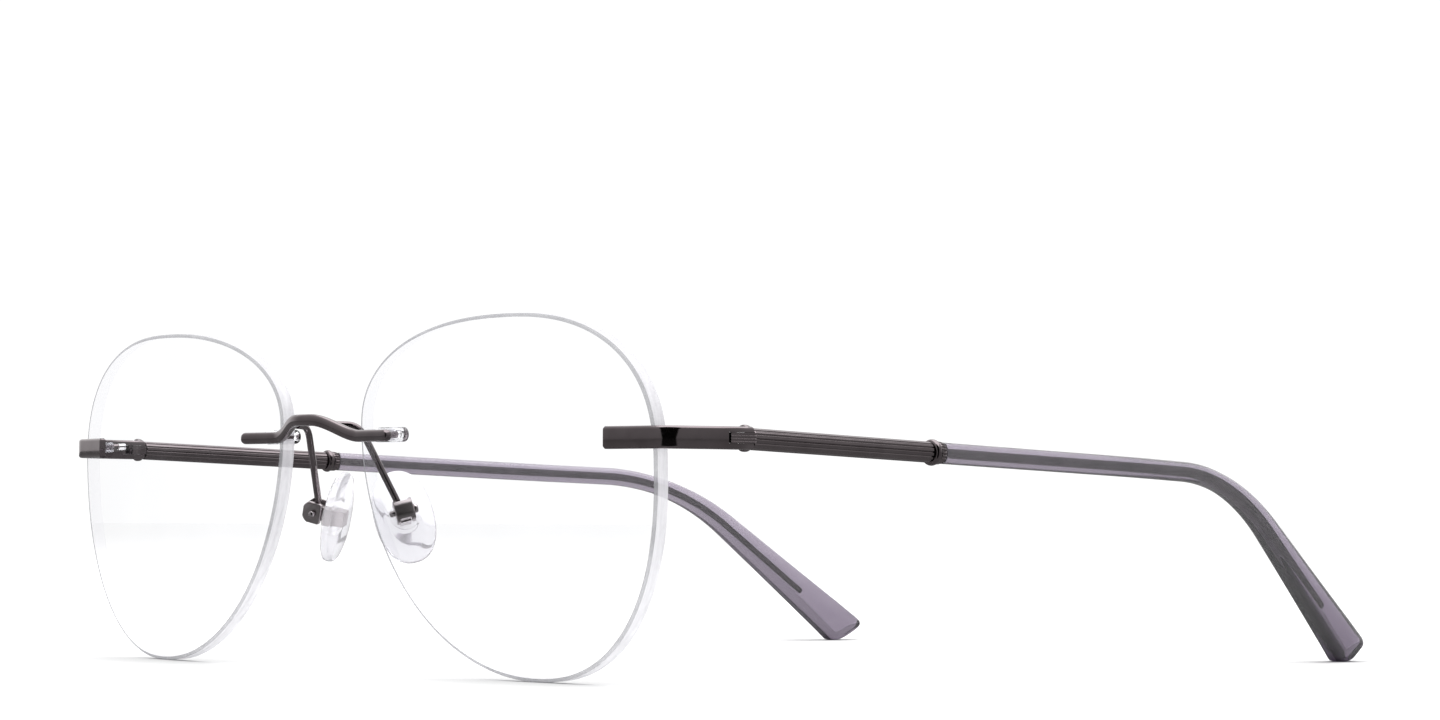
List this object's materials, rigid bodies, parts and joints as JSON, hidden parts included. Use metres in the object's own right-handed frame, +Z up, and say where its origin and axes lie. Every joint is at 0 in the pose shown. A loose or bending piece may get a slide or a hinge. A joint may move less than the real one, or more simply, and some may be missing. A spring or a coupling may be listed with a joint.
{
  "type": "rimless eyeglasses",
  "caption": "Rimless eyeglasses with drilled lenses, an arched metal bridge, screw-on nose pads, fork hinges, fluted metal temple sleeves and translucent tips over a core wire.",
  "frame": {"origin": "centre of the footprint at floor level, with the glasses standing on the lens bottoms and the temple tips", "axes": "+Z up, the lens fronts face -Y, the temples run towards +Y, +X is the wearer's left"},
  "size_m": [0.1396, 0.1482, 0.0454],
  "materials": {
    "lens": "clear, uncoated, polished faces, satin edge",
    "pad": "soft clear plastic, smooth",
    "bushing": "clear plastic, smooth",
    "gunmetal": "polished dark gunmetal plating",
    "screw": "polished dark plating",
    "core": "satin dark wire",
    "tip": "translucent lavender-grey acetate, polished"
  },
  "bodies": {
    "front": {"lens_left": "lens", "lens_right": "lens", "bridge": "gunmetal", "pad_arm_left": "gunmetal", "pad_arm_right": "gunmetal", "pad_box_left": "gunmetal", "pad_box_right": "gunmetal", "pad_screw_left": "screw", "pad_screw_right": "screw", "bridge_bushing_left": "bushing", "bridge_bushing_right": "bushing", "end_bushing_left": "bushing", "end_bushing_right": "bushing", "endpiece_left": "gunmetal", "endpiece_right": "gunmetal", "hinge_screw_left": "screw", "hinge_screw_right": "screw"},
    "temple_left": {"hinge_tongue_left": "gunmetal", "sleeve_left": "gunmetal", "rear_collar_left": "gunmetal", "core_wire_left": "core", "temple_tip_left": "tip"},
    "temple_right": {"hinge_tongue_right": "gunmetal", "sleeve_right": "gunmetal", "rear_collar_right": "gunmetal", "core_wire_right": "core", "temple_tip_right": "tip"},
    "pad_left": {"nose_pad_left": "pad", "pad_insert_left": "screw"},
    "pad_right": {"nose_pad_right": "pad", "pad_insert_right": "screw"}
  },
  "joints": [
    {"name": "temple_left_fold", "type": "hinge", "parent": "front", "child": "temple_left", "pos_m": [0.06795, -0.05786, 0.0298], "axis": [0, 0, 1], "range_deg": [0, 85]},
    {"name": "temple_right_fold", "type": "hinge", "parent": "front", "child": "temple_right", "pos_m": [-0.06795, -0.05786, 0.0298], "axis": [0, 0, -1], "range_deg": [0, 79]},
    {"name": "pad_left_rock", "type": "hinge", "parent": "front", "child": "pad_left", "pos_m": [0.01007, -0.06447, 0.02091], "axis": [0.4991, 0.8263, 0.2612], "range_deg": [-8, 8]},
    {"name": "pad_right_rock", "type": "hinge", "parent": "front", "child": "pad_right", "pos_m": [-0.01007, -0.06447, 0.02091], "axis": [-0.4991, 0.8263, 0.2612], "range_deg": [-8, 8]}
  ]
}
